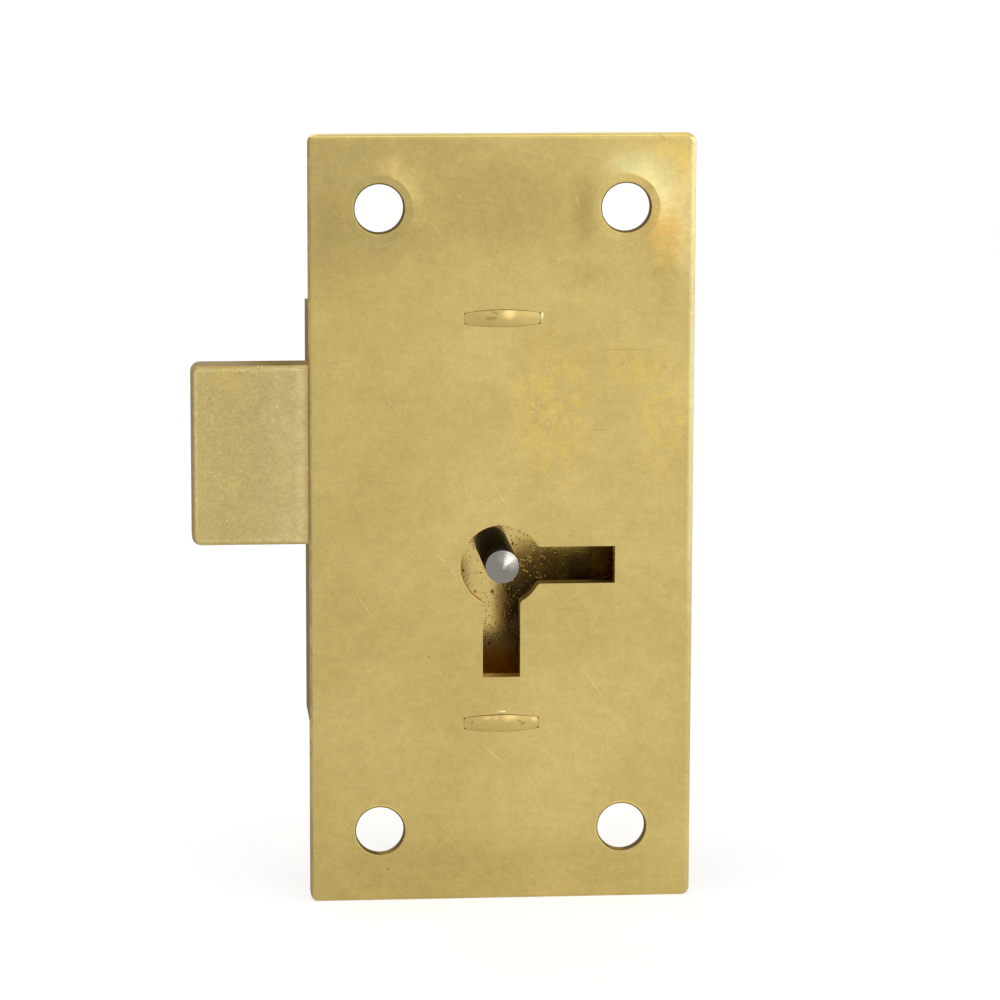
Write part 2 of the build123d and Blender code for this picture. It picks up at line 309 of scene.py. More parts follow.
    def tone(self, colour, level):
        """A colour made lighter or darker by a level that changes over the surface."""
        node = self.tree.nodes.new("ShaderNodeVectorMath")
        node.operation = "SCALE"
        self.put(colour, node.inputs[0])
        self.put(level, node.inputs["Scale"])
        return node.outputs["Vector"]

    def bump(self, height_mm):
        """Raise the surface by a height in millimetres."""
        node = self.tree.nodes.new("ShaderNodeBump")
        node.inputs["Strength"].default_value = 1.0
        node.inputs["Distance"].default_value = MM
        self.put(height_mm, node.inputs["Height"])
        self.tree.links.new(node.outputs["Normal"], self.shader.inputs["Normal"])

    def film(self, share, metal):
        """A dull film that hides the metal's own shine, over a share of the surface. It also paints shade on
        edges, walls and the pin's shank.
        """
        self.shader.inputs["Specular IOR Level"].default_value = 0.0
        self.put(self.span(share, 0.0, 1.0, 1.0, metal), self.shader.inputs["Metallic"])

    def finish(self, colour, roughness):
        self.put(colour, self.shader.inputs["Base Color"])
        self.put(roughness, self.shader.inputs["Roughness"])
        return self.material


# Scratches on all the brass sheet: length, gap, share of the places and direction in degrees
BRIGHT_SCRATCHES = (
    (0.9, 0.42, 0.14, 57),
    (0.6, 0.36, 0.14, 44),
    (2.0, 0.46, 0.07, 9),
    (0.7, 0.40, 0.10, -30),
)
DULL_SCRATCHES = (
    (1.2, 0.40, 0.10, 36),
    (2.4, 0.44, 0.06, 2),
)


def sheet_scratches(f, seed):
    """Fine scratches that all the brass sheet has: bright ones and dull ones."""
    bright = f.most(*(f.scratches(*kind, seed + step) for step, kind in enumerate(BRIGHT_SCRATCHES)))
    dull = f.most(*(f.scratches(*kind, seed + 5 + step) for step, kind in enumerate(DULL_SCRATCHES)))
    return f.times(bright, 0.55), f.times(dull, 0.5)


def dark_specks(f, seed):
    """Sparse dark dots, which the plate and the case have."""
    return f.specks(1.7, 0.05, 0.07, seed)


# Marks on the face of the plate: x and z of both ends and the width, in millimetres
BRIGHT_MARKS = (
    (-7.7, 29.35, -7.1, 29.05, 0.07),
    (-6.1, 25.0, -5.2, 24.3, 0.05),
    (-5.3, 24.4, -4.9, 23.3, 0.05),
    (-3.9, 27.3, -3.5, 26.9, 0.05),
    (6.0, 27.0, 6.2, 26.0, 0.04),
    (-5.6, -2.5, -4.5, -3.4, 0.05),
    (-4.5, -3.4, -3.7, -4.6, 0.05),
    (-0.6, 3.1, 0.3, 1.5, 0.05),
    (2.4, 9.9, 2.8, 9.4, 0.09),
    (2.9, 9.7, 3.1, 9.2, 0.07),
    (9.1, 7.7, 9.5, 7.4, 0.06),
    (-12.0, -6.0, -10.4, -8.2, 0.05),
    (4.3, 21.65, 5.6, 22.05, 0.05),
    (-2.0, -18.4, 0.5, -20.6, 0.05),
    (6.5, -12.2, 8.9, -15.4, 0.045),
    (-9.6, 10.6, -8.3, 8.8, 0.045),
)
DARK_MARKS = (
    (8.3, 14.3, 12.4, 14.25, 0.05),
    (7.2, 7.65, 9.0, 7.6, 0.05),
    (9.5, 12.9, 10.2, 13.3, 0.07),
    (3.9, 21.45, 4.5, 21.75, 0.06),
    (3.6, -0.2, 4.9, 0.6, 0.05),
    (12.6, 32.0, 13.4, 31.4, 0.10),
    (3.9, -7.2, 7.4, -7.6, 0.04),
    (-11.3, 3.6, -8.4, 3.2, 0.04),
)

# Patches on the face of the plate: x, z, half width, half height, softness and strength
RUBBED_PATCHES = (
    (4.3, 9.4, 3.4, 5.6, 0.5, 1.0),
    (13.2, 8.4, 1.9, 5.0, 0.5, 1.0),
    (10.4, 12.6, 1.5, 1.8, 0.6, 1.0),
)
# Grey-brown smudges; the first one is painted shade left of the right upper hole
SMUDGES_AND_SHADE = (
    (SCREW_X - 3.5, SCREW_Z - 0.3, 0.9, 2.7, 0.8, 0.9),
    (0.2, 26.2, 4.0, 3.4, 0.45, 0.42),
    (-14.4, 25.5, 1.0, 5.0, 0.8, 0.4),
)
BROKEN_SMUDGES = (
    (13.6, 20.6, 1.9, 2.4, 0.8, 1.0),
    (7.6, 20.6, 1.8, 1.2, 0.8, 0.6),
)
# Painted highlights and reflections round the upper holes, by the top right corner and on the right edge near
# the top
PEACH_HIGHLIGHTS = (
    (SCREW_X + 3.6, SCREW_Z + 0.6, 1.5, 4.0, 0.7, 1.0),
    (-SCREW_X + 1.3, SCREW_Z + 3.4, 1.2, 0.8, 0.8, 0.7),
)
PALE_HIGHLIGHTS = (
    (SCREW_X + 1.4, SCREW_Z + 3.5, 2.2, 0.9, 0.9, 0.9),
    (SCREW_X + 3.3, SCREW_Z + 1.4, 0.7, 1.9, 0.9, 0.9),
)
WARM_HIGHLIGHTS = (
    (14.0, 29.6, 2.8, 1.7, 0.7, 1.0),
    (13.9, 23.6, 1.6, 2.4, 0.7, 0.7),
)
WAN_HIGHLIGHTS = (
    (12.2, 28.6, 2.0, 1.8, 0.6, 1.0),
    (10.9, 29.5, 1.6, 0.9, 0.6, 1.0),
)
HONEY_HIGHLIGHTS = (
    (15.1, 24.6, 0.9, 4.4, 0.6, 1.0),
)
ORANGE_REFLECTIONS = (
    (SCREW_X + 3.2, SCREW_Z - 2.4, 1.7, 1.3, 0.7, 1.0),
    (-SCREW_X - 3.4, SCREW_Z + 0.2, 0.5, 1.4, 0.8, 1.0),
)
# Burrs beside the tabs, with a painted highlight
BURRS = (
    (3.22, 17.09, 0.13, 0.24, 0.5, 1.0),
    (0.02, -16.02, 0.26, 0.10, 0.5, 1.0),
)

# Places rubbed bare: x, z, half width, half height and softness
LEFT_BARE = (3.4, 10.2, 1.6, 3.4, 0.7)
RIGHT_BARE = (12.8, 7.4, 1.0, 2.4, 0.7)

# Where the shading of the plate begins and where it is full, in X or in Z
LEFT_SHADE_X = (-HALF_WIDTH, 0.4 * HALF_WIDTH)
TOP_SHADE_Z = (15.0, 27.0)
TOP_SHADE_X = (3.0, 9.0)
BOTTOM_SHADE_Z = (-25.0, -29.0)
BOTTOM_SHADE_X = (9.0, 14.0)
GOLDEN_EDGE_Z = (10.0, 15.0)
BRIGHT_EDGE_Z = (-14.0, 6.0)
RIGHT_RING_X = (SCREW_X - 1.2, SCREW_X + 0.6)
DARK_RING_X = (SCREW_X + 1.0, SCREW_X + 2.0)

# The same for distances in from an edge of the plate, and past the rim of a hole
LEFT_ROLL = (0.30, 0.16)
RIGHT_ROLL = (0.62, 0.28)
TOP_ROLL = (0.50, 0.20)
PLATE_SIDE = (0.3, 0.1)
HOLE_LIP = (0.24, 0.12)
HOLE_UPPER_LIP = (0.30, 0.16)
HOLE_SHADE = (0.16, 0.06)
HOLE_BORE = (0.10, 0.05)
KEYHOLE_LIP = (0.14, 0.04)


def plate_level(f, clouds, mottle, streaks):
    """How light the plate is: mottled all over, and darker at the left, the top and the bottom."""
    freckle = f.noise(0.42, 3.0, 0.65, seed=5)
    grain = f.noise(0.15, 2.0, 0.6, seed=4)
    top = f.times(f.span(f.z, *TOP_SHADE_Z), f.span(f.x, *TOP_SHADE_X, 1.0, 0.15))
    bottom = f.times(f.span(f.z, *BOTTOM_SHADE_Z), f.span(f.x, *BOTTOM_SHADE_X, 1.0, 0.3))
    return f.times(
        f.vary(clouds, 0.035),
        f.vary(mottle, 0.045),
        f.vary(freckle, 0.05),
        f.vary(streaks, 0.015),
        f.vary(grain, 0.07, 0.2, 0.8),
        f.span(f.x, *LEFT_SHADE_X, 0.91, 1.0),
        f.span(top, 0.0, 1.0, 1.0, 0.87),
        f.span(bottom, 0.0, 1.0, 1.0, 0.91),
    )


def plate_sheet(f, clouds):
    """The colour of the bare sheet, with small freckles of a richer and a cooler brass."""
    hue = f.noise(0.30, 3.0, 0.65, (1.0, 1.0, 0.7), seed=16)
    colour = f.mix(f.span(clouds, 0.4, 0.7), BRASS, shade(BRASS_PALE, 0.90))
    colour = f.mix(f.span(hue, 0.50, 0.75, 0.0, 0.60), colour, BRASS_RICH)
    return f.mix(f.span(hue, 0.50, 0.25, 0.0, 0.60), colour, BRASS_COOL)


def plate_rubbing(f, colour):
    """Places right of the middle that are rubbed down to a warmer yellow, and where they are."""
    coarse = f.noise(1.1, 5.0, 0.64, (0.8, 1.0, 1.4), seed=6)
    fine = f.noise(0.36, 4.0, 0.65, (0.8, 1.0, 1.4), seed=7)
    blotch = f.add(f.times(coarse, 0.7), f.times(fine, 0.3))
    rubbed = f.times(f.patches(RUBBED_PATCHES), f.span(blotch, 0.44, 0.56))
    bare = f.most(
        f.times(f.patch(*LEFT_BARE), f.span(fine, 0.50, 0.66)),
        f.times(f.patch(*RIGHT_BARE), f.span(fine, 0.54, 0.70)),
    )
    colour = f.coat(colour, BRASS_GOLD, rubbed, 0.42)
    return f.coat(colour, BRASS_PALE, bare, 0.55), rubbed


def plate_tarnish(f, colour, stain):
    """Grey-brown smudges round the upper holes, the one left of the right hole being painted shade, and
    places lightly tarnished here and there.
    """
    breakup = f.span(f.noise(1.2, 4.0, 0.6, seed=9), 0.30, 0.62)
    smudge = f.most(f.patches(SMUDGES_AND_SHADE), f.times(f.patches(BROKEN_SMUDGES), breakup))
    dulled = f.least(f.add(f.times(smudge, 0.75), f.times(stain, 0.25)), 1.0)
    return f.mix(dulled, colour, BRASS_DULL_AND_SHADE)


def plate_painted_light(f, colour):
    """Painted highlights, reflections and shade on the face, round the upper holes where the ground was
    pressed up.
    """
    plain = colour
    from_left = f.away(-SCREW_X, SCREW_Z)
    from_right = f.away(SCREW_X, SCREW_Z)
    flat = f.span(f.facing_y, -0.5, -0.9)
    left_ring = f.times(f.span(from_left, RING_RADIUS + 0.05, RING_RADIUS - 0.05), flat)
    right_ring = f.times(
        f.span(from_right, RING_RADIUS + 0.05, RING_RADIUS - 0.05),
        flat,
        f.span(f.x, *RIGHT_RING_X),
    )
    # Painted shade on the flat rings round the holes, darker at the right of the right one
    colour = f.coat(colour, BRASS_DULL_AND_SHADE, f.most(right_ring, left_ring), 0.35)
    colour = f.coat(colour, BRASS_DULL_AND_SHADE, f.times(right_ring, f.span(f.x, *DARK_RING_X)), 0.75)

    # Painted highlights and reflections on the pressed ground past the rings
    past_rings = f.span(f.least(from_left, from_right), RING_RADIUS - 0.05, RING_RADIUS + 0.10)
    peach_cloud = f.span(f.noise(1.4, 3.0, 0.6, seed=14), 0.30, 0.60)
    warm_cloud = f.span(f.noise(1.6, 3.0, 0.6, seed=15), 0.28, 0.58, 0.5, 1.0)
    honey_cloud = f.span(f.noise(1.0, 3.0, 0.6, seed=17), 0.3, 0.6, 0.4, 1.0)
    orange_cloud = f.span(f.noise(0.6, 4.0, 0.65, (1.6, 1.0, 0.6), seed=10), 0.45, 0.62)
    for tint, strength, places, broken in (
        (BRASS_PEACH, 0.45, PEACH_HIGHLIGHTS, peach_cloud),
        (BRASS_RUBBED_AND_HIGHLIGHT, 0.38, PALE_HIGHLIGHTS, past_rings),
        (BRASS_WARM, 0.60, WARM_HIGHLIGHTS, warm_cloud),
        (BRASS_WAN, 0.60, WAN_HIGHLIGHTS, past_rings),
        (BRASS_HONEY, 0.50, HONEY_HIGHLIGHTS, honey_cloud),
        (BRASS_ORANGE, 0.55, ORANGE_REFLECTIONS, orange_cloud),
    ):
        colour = f.coat(colour, tint, f.times(f.patches(places), broken), strength)
    return f.mix(f.span(f.facing_y, 0.1, -0.3), plain, colour)


def plate_edges(f, colour, mottle):
    """Painted shade in the roll of the left edge, painted highlights on the others (the right one also
    rubbed), painted shade on the sides with a painted highlight on the top side, and where their dull film
    lies.
    """
    broken = f.span(mottle, 0.35, 0.60, 0.55, 1.0)
    golden = f.span(f.z, *GOLDEN_EDGE_Z)
    left_roll = f.times(f.span(f.add(f.x, HALF_WIDTH), *LEFT_ROLL), broken)
    right_roll = f.times(
        f.span(f.inward(f.x, HALF_WIDTH), *RIGHT_ROLL),
        f.span(f.z, *BRIGHT_EDGE_Z, 0.16, 1.0),
    )
    top_roll = f.times(
        f.span(f.inward(f.z, HALF_HEIGHT), *TOP_ROLL),
        f.span(f.facing_z, 0.04, 0.30, 0.75, 1.0),
    )
    # Painted shade in the left roll, more golden higher up; painted highlights on the right roll, which is
    # also rubbed bright, and on the top roll
    colour = f.coat(colour, f.mix(golden, ROLL_TAUPE, ROLL_GOLD), left_roll, 0.85)
    colour = f.coat(colour, BRASS_RUBBED_AND_HIGHLIGHT, right_roll, 0.50)
    colour = f.coat(colour, BRASS_YELLOW, top_roll, 0.22)

    outer = f.most(
        f.span(f.inward(f.unsigned(f.x), HALF_WIDTH), *PLATE_SIDE),
        f.span(f.inward(f.unsigned(f.z), HALF_HEIGHT), *PLATE_SIDE),
    )
    side = f.times(f.span(f.unsigned(f.facing_y), 0.30, 0.10), outer)
    top_side = f.times(side, f.span(f.facing_z, 0.5, 0.9))
    shaded_side = f.add(side, f.times(top_side, -1.0))
    # Painted shade on the sides, and a painted highlight on the top side
    colour = f.coat(colour, f.mix(golden, EDGE_TAUPE, EDGE_GOLD), shaded_side, 0.90)
    colour = f.coat(colour, EDGE_YELLOW, top_side, 0.90)
    film = f.most(f.times(shaded_side, 0.85), f.times(left_roll, 0.75), f.times(top_side, 0.45))
    return colour, film


def plate_holes(f, colour):
    """Screw holes painted brown as shade inside and at the right of the rim, with a golden painted highlight
    on the lip, and where their insides are.
    """
    bores = []
    for x in (-SCREW_X, SCREW_X):
        for z in (-SCREW_Z, SCREW_Z):
            past_rim = f.add(f.away(x, z), -SCREW_RADIUS)
            right = f.add(f.x, -x)
            up = f.add(f.z, -z)
            lean = f.add(right, f.times(up, 0.5))
            lip = f.times(f.span(past_rim, *HOLE_LIP), f.span(lean, -0.9, -1.8))
            if z < 0:
                rise = f.add(up, f.times(right, 0.3))
                lip = f.most(lip, f.times(f.span(past_rim, *HOLE_UPPER_LIP), f.span(rise, 1.2, 1.9)))
            # A painted highlight on the lip
            colour = f.coat(colour, BRASS_YELLOW, lip, 0.75)
            # Painted shade at the right of the rim and inside the hole
            edge_shade = f.times(f.span(past_rim, *HOLE_SHADE), f.span(lean, 0.0, 1.2, 0.35, 1.0))
            inside = f.span(past_rim, *HOLE_BORE)
            colour = f.coat(colour, BRASS_BROWN, f.most(edge_shade, inside), 0.85)
            bores.append(inside)
    return colour, f.most(*bores)


def plate_keyhole(f, colour):
    """A golden painted highlight on the lip at the lower left of the keyhole, and on its walls where they
    face up.
    """
    lip = f.span(f.add(f.away(PIN_X, PIN_Z), -KEYHOLE_RADIUS), *KEYHOLE_LIP)
    lean = f.add(f.x, f.z, -PIN_X - PIN_Z)
    colour = f.coat(colour, BRASS_GOLD, f.times(lip, f.span(lean, -2.6, -3.6)), 0.75)
    wall = f.times(
        f.span(f.facing_z, 0.6, 0.9),
        f.span(f.unsigned(f.x), KEY_REACH + 1.1, KEY_REACH + 0.6),
        f.span(f.z, 0.0, -1.0),
    )
    return f.coat(colour, BRASS_GOLD, wall, 0.7)


def plate_brass():
    """Rolled brass sheet, satin and mottled, with rubbed and tarnished places, and painted highlights,
    reflections and shade.
    """
    f = Finish("plate_brass")
    clouds = f.noise(9.0, 3.0, 0.5, seed=1)
    mottle = f.noise(1.3, 4.0, 0.62, seed=2, warp=0.3)
    streaks = f.noise(1.0, 3.0, 0.6, (5.0, 5.0, 0.35), 3, seed=3)
    stain = f.span(f.noise(5.0, 4.0, 0.6, seed=8, warp=0.6), 0.56, 0.74)
    colour = plate_sheet(f, clouds)
    colour, rubbed = plate_rubbing(f, colour)
    colour = plate_tarnish(f, colour, stain)
    colour = plate_painted_light(f, colour)
    colour, film = plate_edges(f, colour, mottle)
    colour, bores = plate_holes(f, colour)
    colour = plate_keyhole(f, colour)
    # A dull film over the painted edges and the shaded insides of the holes
    f.film(f.most(film, f.times(bores, 0.9)), FILM_METAL)

    # Metal pushed up beside the tabs, with a painted highlight on it, and marks
    burr = f.patches(BURRS)
    bright, dull = sheet_scratches(f, 20)
    bright = f.most(bright, f.times(f.strokes(BRIGHT_MARKS), 0.7))
    dull = f.most(dull, f.times(f.strokes(DARK_MARKS), 0.8))
    colour = f.coat(colour, BRASS_RUBBED_AND_HIGHLIGHT, burr, 0.70)
    colour = f.coat(colour, BRASS_RUBBED_AND_HIGHLIGHT, bright, 0.50)
    colour = f.coat(colour, BRASS_BROWN, dull, 0.42)
    colour = f.coat(colour, BRASS_GOLD, f.specks(0.7, 0.07, 0.11, 27), 0.55)
    colour = f.coat(colour, DIRT, dark_specks(f, 29), 0.55)
    colour = f.tone(colour, plate_level(f, clouds, mottle, streaks))

    # The sheet is not quite flat
    f.bump(f.add(
        f.times(f.noise(7.0, 2.0, 0.4, seed=12), 0.03),
        f.times(burr, 0.05),
        f.times(f.noise(0.22, 3.0, 0.6, seed=13), 0.0016),
        f.times(streaks, 0.0012),
        f.times(f.add(bright, dull), -0.0015),
    ))
    roughness = f.span(f.add(f.times(mottle, 0.6), f.times(stain, 0.4)), 0.2, 0.8, 0.30, 0.42)
    return f.finish(colour, f.add(roughness, f.times(rubbed, -0.03)))


# A painted highlight along an arc, and bright chipped and scored places, on the floor under the keyhole: x
# and z of both ends and the width
ARC_HIGHLIGHT = (
    (7.83, -6.19, 8.32, -5.36, 0.07),
    (8.32, -5.36, 8.90, -4.75, 0.07),
    (8.90, -4.75, 9.35, -4.10, 0.07),
)
FLOOR_CHIPS = (
    (6.6, -4.35, 8.4, -4.55, 0.04),
    (2.45, -5.05, 2.95, -5.20, 0.09),
    (3.00, -4.78, 3.45, -4.98, 0.10),
    (3.05, -5.28, 3.50, -5.12, 0.08),
    (2.35, -5.48, 2.85, -5.72, 0.08),
    (2.60, -5.92, 3.20, -6.22, 0.10),
    (4.10, -4.78, 4.60, -4.92, 0.08),
    (3.70, -6.58, 4.10, -6.72, 0.07),
    (5.00, -4.20, 5.70, -4.10, 0.06),
    (1.80, -8.30, 2.00, -8.05, 0.07),
)

# Patches on that floor: x, z, half width, half height, softness and strength
FLOOR_SCUFFS = (
    (5.4, -5.3, 4.2, 2.0, 0.4, 1.0),
)
FLOOR_SLOT_ENDS = (
    (10.6, -5.4, 2.4, 3.0, 0.35, 1.0),
    (0.6, -16.0, 3.0, 3.4, 0.35, 1.0),
)
FLOOR_SHADOWS = (
    (1.10, -9.3, 0.95, 2.7, 0.5, 1.0),
    (5.6, -6.0, 4.1, 1.9, 0.4, 0.80),
)
# Where painted glints lie
FLOOR_GLINT_PLACES = (
    (3.4, -5.2, 3.4, 2.6, 0.7, 1.0),
)
FLOOR_BLOTS = (
    (-2.40, -5.95, 0.10, 0.12, 0.4, 1.0),
    (-0.94, -6.19, 0.12, 0.07, 0.4, 1.0),
    (0.06, -7.81, 0.16, 0.20, 0.4, 1.0),
    (-1.39, -7.79, 0.10, 0.14, 0.4, 1.0),
    (1.78, -3.71, 0.10, 0.16, 0.4, 1.0),
    (-0.19, -12.31, 0.12, 0.14, 0.4, 1.0),
)

# Where the case's floor begins and its tabs end, in Y, and where the brown at the slots' ends lightens, in Z
FLOOR_Y = (8.0, 9.0)
TAB_Y = (0.4, 0.2)
SLOT_END_Z = (-4.2, -6.6)

# How far in from its widest and its highest places the outside of the case begins
CASE_SIDE = (0.5, 0.3)
CASE_END = (0.9, 0.7)

# Painted shade in creases on the tabs, as marks, and painted highlights on them, as patches
TAB_CREASE_SHADES = (
    (-1.5, 16.94, -0.35, 17.00, 0.20),
    (-0.95, 17.55, -0.25, 17.25, 0.16),
    (1.35, -16.68, 1.80, -16.95, 0.13),
    (1.60, -17.12, 2.00, -16.88, 0.14),
    (-2.5, -16.70, -2.35, -17.00, 0.14),
)
TAB_HIGHLIGHT_PLACES = (
    (0.55, 17.35, 0.42, 0.36, 0.8, 1.0),
)
TAB_GLINT_PLACES = (
    (0.70, -16.42, 0.50, 0.26, 0.9, 1.0),
    (-1.15, -16.50, 0.30, 0.16, 0.9, 0.7),
    (-0.45, -16.50, 0.18, 0.12, 0.9, 0.7),
    (2.75, -16.62, 0.20, 0.24, 0.9, 0.7),
)


def case_floor(f, colour, floor):
    """A floor scuffed by the pin and brown at both slots' ends, with painted shadows, a painted highlight
    along an arc and painted glints, and how much rougher it is.
    """
    scuffed = f.times(f.patches(FLOOR_SCUFFS), floor)
    slot_ends = f.times(f.patches(FLOOR_SLOT_ENDS), floor)
    shadow = f.times(f.patches(FLOOR_SHADOWS), floor)
    colour = f.coat(colour, FLOOR_BRASS, floor, 0.8)
    colour = f.coat(colour, BRASS_WARM, scuffed, 0.7)
    colour = f.coat(colour, FLOOR_DARK, shadow, 0.72)
    deep = f.tone(SLOT_END_BROWN, f.span(f.z, *SLOT_END_Z, 0.33, 1.0))
    colour = f.coat(colour, deep, slot_ends, 0.9)
    colour = f.coat(colour, BRASS_GOLD, f.times(f.strokes(ARC_HIGHLIGHT), floor), 0.5)
    painted_glints = f.times(f.specks(0.30, 0.34, 0.30, 38), f.patches(FLOOR_GLINT_PLACES), floor)
    chips_and_glints = f.times(f.most(f.times(painted_glints, 0.7), f.strokes(FLOOR_CHIPS)), floor)
    colour = f.mix(chips_and_glints, colour, FLOOR_CHIP_AND_GLINT)
    rougher = f.add(
        f.times(floor, -0.13),
        f.times(f.most(f.times(scuffed, 0.7), slot_ends), 0.12),
        f.times(chips_and_glints, 0.28),
    )
    return colour, painted_glints, rougher


def case_tabs(f, colour, tab):
    """Dull staked tabs, duller at the left, with painted highlights and painted shade in their creases."""
    colour = f.coat(colour, BRASS_DULL_AND_SHADE, tab, f.span(f.x, -0.2, 0.8, 0.50, 0.34))
    colour = f.coat(colour, TAB_HIGHLIGHT, f.times(f.patches(TAB_HIGHLIGHT_PLACES), tab), 0.95)
    colour = f.coat(colour, BRASS_BROWN, f.times(f.strokes(TAB_CREASE_SHADES), tab), 0.45)
    return f.coat(colour, TAB_GLINT, f.times(f.patches(TAB_GLINT_PLACES), tab), 0.75)


def case_brass():
    """The folded case: brighter and smoother sheet inside, dull taupe outside, which also paints the walls'
    shade.
    """
    f = Finish("case_brass")
    mottle = f.noise(2.2, 4.0, 0.6, seed=31, warp=0.4)
    clouds = f.noise(9.0, 3.0, 0.5, seed=32)
    sand = f.noise(0.14, 3.0, 0.7, seed=33)
    colour = f.mix(f.span(clouds, 0.35, 0.7), BRASS, shade(BRASS_PALE, 0.92))

    # The outsides of the folded walls carry a dull film, which also paints their shade, and the inside of the
    # floor is pitted
    film = f.times(
        f.span(f.unsigned(f.facing_y), 0.7, 0.3),
        f.most(
            f.span(f.inward(f.unsigned(f.x), CASE_HALF_WIDTH), *CASE_SIDE),
            f.span(f.inward(f.unsigned(f.z), CASE_HALF_HEIGHT), *CASE_END),
        ),
    )
    floor = f.times(f.span(f.facing_y, -0.8, -0.95), f.span(f.y, *FLOOR_Y))
    pits = f.times(f.specks(0.27, 0.80, 0.38, 34), floor, f.span(clouds, 0.3, 0.6, 0.45, 1.0))
    tab = f.times(f.span(f.y, *TAB_Y), f.span(f.facing_y, -0.2, -0.6))
    f.film(f.most(film, f.times(pits, 0.55)), FILM_METAL)
    colour = f.coat(colour, CASE_FILM_AND_SHADE, film, 0.95)
    colour, painted_glints, rougher = case_floor(f, colour, floor)
    colour = case_tabs(f, colour, tab)

    bright, dull = sheet_scratches(f, 40)
    colour = f.coat(colour, BRASS_PALE, bright, 0.35)
    colour = f.coat(colour, BRASS_BROWN, dull, 0.35)
    colour = f.coat(colour, BRASS_BROWN, pits, 0.25)
    colour = f.coat(colour, DIRT, f.times(f.patches(FLOOR_BLOTS), floor), 0.75)
    colour = f.coat(colour, DIRT, dark_specks(f, 49), 0.5)
    level = f.times(f.span(mottle, 0.25, 0.75, 0.92, 1.06), f.vary(sand, 0.06, 0.2, 0.8))
    colour = f.tone(colour, level)

    f.bump(f.add(
        f.times(sand, 0.0012),
        f.times(pits, -0.004),
        f.times(f.noise(5.0, 2.0, 0.4, seed=37), 0.02),
        f.times(f.add(bright, dull), -0.0015),
        f.times(painted_glints, 0.012),
    ))
    roughness = f.add(
        f.span(mottle, 0.25, 0.75, 0.26, 0.36),
        rougher,
        f.times(tab, 0.16),
        f.times(film, 0.30),
    )
    return f.finish(colour, roughness)


# On the bolt: stains as patches, one small spot, and marks that the mouth of the case has dragged
BOLT_STAINS = (
    (-22.6, 12.0, 1.3, 0.7, 0.7, 1.0),
    (-18.0, 5.0, 0.4, 3.4, 0.8, 0.9),
)
BOLT_SPOT = (-20.2, 12.4, 0.3, 0.14, 0.4)
DRAG_MARKS = (
    (-17.4, 5.6, -16.0, 5.6, 0.06),
    (-17.0, 8.0, -16.0, 7.9, 0.05),
)

# Where the bolt gets darker, scored, paler and, as painted light, lighter towards the plate, in X
DARK_SIDE_X = (-22.5, -17.5)
SCORED_X = (-HALF_WIDTH - 2.2, -HALF_WIDTH - 0.6)
PALE_X = (-21.0, -HALF_WIDTH)
PAINTED_LIGHT_X = (-17.2, -HALF_WIDTH - 0.05)

# Distances in from the bolt's outline between which its painted rim highlight fades in, and then out
RIM_OUTER = (0.24, 0.38)
RIM_INNER = (0.62, 0.40)


def bolt_rim_highlight(f, side):
    """A thin, broken painted highlight where the faces of the bolt meet its rounded edges."""
    from_top = f.inward(f.z, BOLT_TOP)
    from_bottom = f.add(f.z, -BOLT_BOTTOM)
    from_end = f.add(f.x, -BOLT_END)
    wander = f.span(f.noise(0.5, 3.0, 0.7, seed=62), 0.3, 0.7, -0.08, 0.08)
    in_from_edge = f.add(f.least(from_top, from_bottom, from_end), wander)
    return f.times(
        f.span(in_from_edge, *RIM_OUTER),
        f.span(in_from_edge, *RIM_INNER),
        f.span(f.noise(0.45, 4.0, 0.75, seed=60), 0.34, 0.70, 0.10, 1.0),
        f.span(side, 0.6, 0.2),
    )


